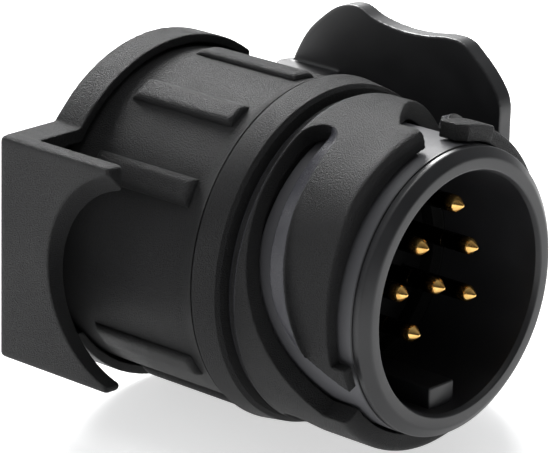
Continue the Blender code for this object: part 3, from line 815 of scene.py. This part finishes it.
def scoop_cutter(outer_y, inner_y):
    """The leaning cone of the finger scoop."""
    outer_radius, inner_radius = 15.05, 13.4
    outer_centre, inner_centre = (30.4, -0.3), (32.0, -1.8)
    narrowing = outer_radius - inner_radius
    thickness = inner_y - outer_y
    bm = bmesh.new()
    bmesh.ops.create_cone(bm, cap_ends=True, segments=160, depth=2.0 * thickness * MM,
                          radius1=(outer_radius + narrowing / 2) * MM,
                          radius2=(inner_radius - narrowing / 2) * MM)
    for vert in bm.verts:
        share = 0.5 + vert.co.z / (thickness * MM)
        depth, height = (a + (b - a) * share for a, b in zip(outer_centre, inner_centre))
        vert.co = (vert.co.x + x_at(depth) * MM, (outer_y + thickness * share) * MM,
                   vert.co.y + height * MM)
    bmesh.ops.recalc_face_normals(bm, faces=bm.faces)
    return bm


def make_lid(mat):
    """The lid: a skirt round the barrel's end, its box, the scooped plate and the knuckles."""
    wall = 1.3
    inside = LENGTH - 2.0
    top, bottom = 15.0, -15.8
    plate_front, plate_inner = 34.6, PLATE_OUTER + 2.8
    shell = lid_outline(LID_OUTER, PLATE_OUTER + 1.2, top - 0.1, bottom + 0.1)
    room = lid_outline(LID_OUTER - wall, PLATE_OUTER + 0.4, top - 2.0, bottom + 2.0)
    lid = piece("lid", prism(shell, LID_FRONT, LENGTH, "x"))
    wing_room = block((45.0, inside + 0.2), (14.0, 30.0), (-30.0, 30.0))
    cut(lid, prism(room, LID_FRONT - 1.0, inside, "x"), wing_room)
    plate = piece("lid_plate", block((plate_front, LENGTH), (PLATE_OUTER, plate_inner),
                                     (bottom, top), bevel=0.7))
    cut(plate, scoop_cutter(PLATE_OUTER, plate_inner))
    shapes = [unpiece(plate)]
    for side in (-1, 1):
        low, high = sorted((side * KNUCKLE_INNER, side * KNUCKLE_OUTER))
        shapes.append(block((inside + 0.1, LENGTH - 0.1), (16.0, HINGE_Y + KNUCKLE_RADIUS - 0.3),
                            (low + 0.2, high - 0.2)))
        shapes.append(block((HINGE_DEPTH, LENGTH - 0.5),
                            (HINGE_Y - KNUCKLE_RADIUS + 0.1, HINGE_Y + KNUCKLE_RADIUS - 0.1),
                            (low + 0.1, high - 0.1)))
        shapes.append(rod(KNUCKLE_RADIUS, (HINGE_DEPTH, HINGE_Y, low), (HINGE_DEPTH, HINGE_Y, high)))
    join(lid, *shapes)
    cut(lid, rod(HINGE_BORE, (HINGE_DEPTH, HINGE_Y, -20.0), (HINGE_DEPTH, HINGE_Y, 20.0)))
    mould(lid, voxel=0.2, rounds=5, keep=0.25)
    finish_piece(lid, "lid", mat, ["rear_lid"])


# Camera, floor and light

def make_camera():
    """Three-quarter front view from 450 mm through a long lens, turned slightly on its axis."""
    distance = 450.0
    aim = Vector((x_at(22.38), -10.65, 6.06))
    azimuth, elevation, roll = (math.radians(angle) for angle in (41.515, 18.55, 1.52))
    level = math.cos(elevation)
    back = Vector((level * math.sin(azimuth), -level * math.cos(azimuth), math.sin(elevation)))
    turn = back.to_track_quat('Z', 'Y').to_matrix().to_4x4() @ Matrix.Rotation(roll, 4, 'Z')
    data = bpy.data.cameras.new("camera")
    data.lens = 228.4
    data.clip_start = 0.01
    data.clip_end = 20.0
    camera = bpy.data.objects.new("camera", data)
    scene.collection.objects.link(camera)
    camera.matrix_world = Matrix.Translation((aim + back * distance) * MM) @ turn
    scene.camera = camera


def make_floor():
    """A pale floor that glows a little, so that it stays white under the soft light."""
    bm = bmesh.new()
    bmesh.ops.create_grid(bm, x_segments=1, y_segments=1, size=3.0)
    floor = piece("floor", bm)
    floor.location.z = cad_box[0].z
    n = Nodes("pale_floor")
    n.shader.inputs["Base Color"].default_value = (0.93, 0.93, 0.93, 1.0)
    n.shader.inputs["Roughness"].default_value = 0.9
    n.shader.inputs["Specular IOR Level"].default_value = 0.1
    n.shader.inputs["Emission Color"].default_value = (1.0, 1.0, 1.0, 1.0)
    n.shader.inputs["Emission Strength"].default_value = 0.6
    floor.data.materials.append(n.finish())


def soft_light(name, place, energy, size):
    """A square area light that looks at the middle of the adapter."""
    data = bpy.data.lights.new(name, 'AREA')
    data.energy = energy
    data.size = size
    light = bpy.data.objects.new(name, data)
    target = Vector((LENGTH * MM / 2, 0.0, 0.0))
    light.location = target + Vector(place)
    light.rotation_euler = (-Vector(place)).to_track_quat('-Z', 'Y').to_euler()
    scene.collection.objects.link(light)


def make_world():
    """A white studio that is brighter above and behind the adapter than in front of its mouth."""
    world = bpy.data.worlds.new("studio")
    world.use_nodes = True
    tree = world.node_tree
    where = tree.nodes.new("ShaderNodeTexCoord")
    lean = tree.nodes.new("ShaderNodeVectorMath")
    lean.operation = 'DOT_PRODUCT'
    lean.inputs[1].default_value = (-0.80, 0.15, 0.58)
    ramp = tree.nodes.new("ShaderNodeMapRange")
    ramp.inputs["From Min"].default_value = -0.5
    ramp.inputs["From Max"].default_value = 0.9
    ramp.inputs["To Min"].default_value = 0.05
    ramp.inputs["To Max"].default_value = 0.62
    background = tree.nodes["Background"]
    background.inputs["Color"].default_value = (0.96, 0.98, 1.0, 1.0)
    tree.links.new(where.outputs["Generated"], lean.inputs[0])
    tree.links.new(lean.outputs["Value"], ramp.inputs["Value"])
    tree.links.new(ramp.outputs["Result"], background.inputs["Strength"])
    scene.world = world


make_camera()
make_floor()
make_world()
soft_light("key_light", (-0.55, 0.40, 0.50), 9.0, 0.35)
soft_light("top_light", (-0.10, 0.05, 0.80), 2.2, 0.4)
soft_light("rim_light", (-0.75, -0.30, 0.12), 1.2, 0.4)
scene.view_settings.view_transform = 'Standard'

# Assembly
grained = grained_plastic()
satin = satin_plastic()
insulator = insulator_plastic()
gold = plated_metal("gold_contact", (0.95, 0.60, 0.20), (0.62, 0.30, 0.07), 0.16,
                    shaded_from=3.7)
brass = plated_metal("brass_contact", (0.82, 0.60, 0.30), (0.60, 0.40, 0.17), 0.26)
zinc = plated_metal("zinc_steel", (0.66, 0.66, 0.64), (0.42, 0.42, 0.42), 0.28)
rubber = rubber_material()

make_shroud(satin_plastic("smooth_black_shroud", sleeve_front=2.0))
make_pins(gold)
make_carrier(insulator)
make_collar(grained_plastic("grained_black_collar", ramps=True))
make_flange(grained)
make_barrel(grained)
make_wing(satin)
make_lid(grained)

nodes = frame["nodes"]
record_colours = {entry["slot"]: entry["base_color"] for entry in frame["record"]["materials"]}
carried = {"retaining_ring": zinc, "hinge_pin": zinc, "lid_spring": zinc, "housing_seal": rubber,
           "lid_gasket": rubber, "socket_insert": insulator}
for number in range(1, 8):
    carried[f"socket_contact_{number}"] = brass
for entry in frame["record"]["subparts"]:
    node, slot_name = entry["node"], entry["material_slot"]
    if node.startswith("lead_"):
        carried[node] = lead_insulation(slot_name, record_colours[slot_name])
    if node in carried:
        nodes[node].data.materials.clear()
        nodes[node].data.materials.append(carried[node])
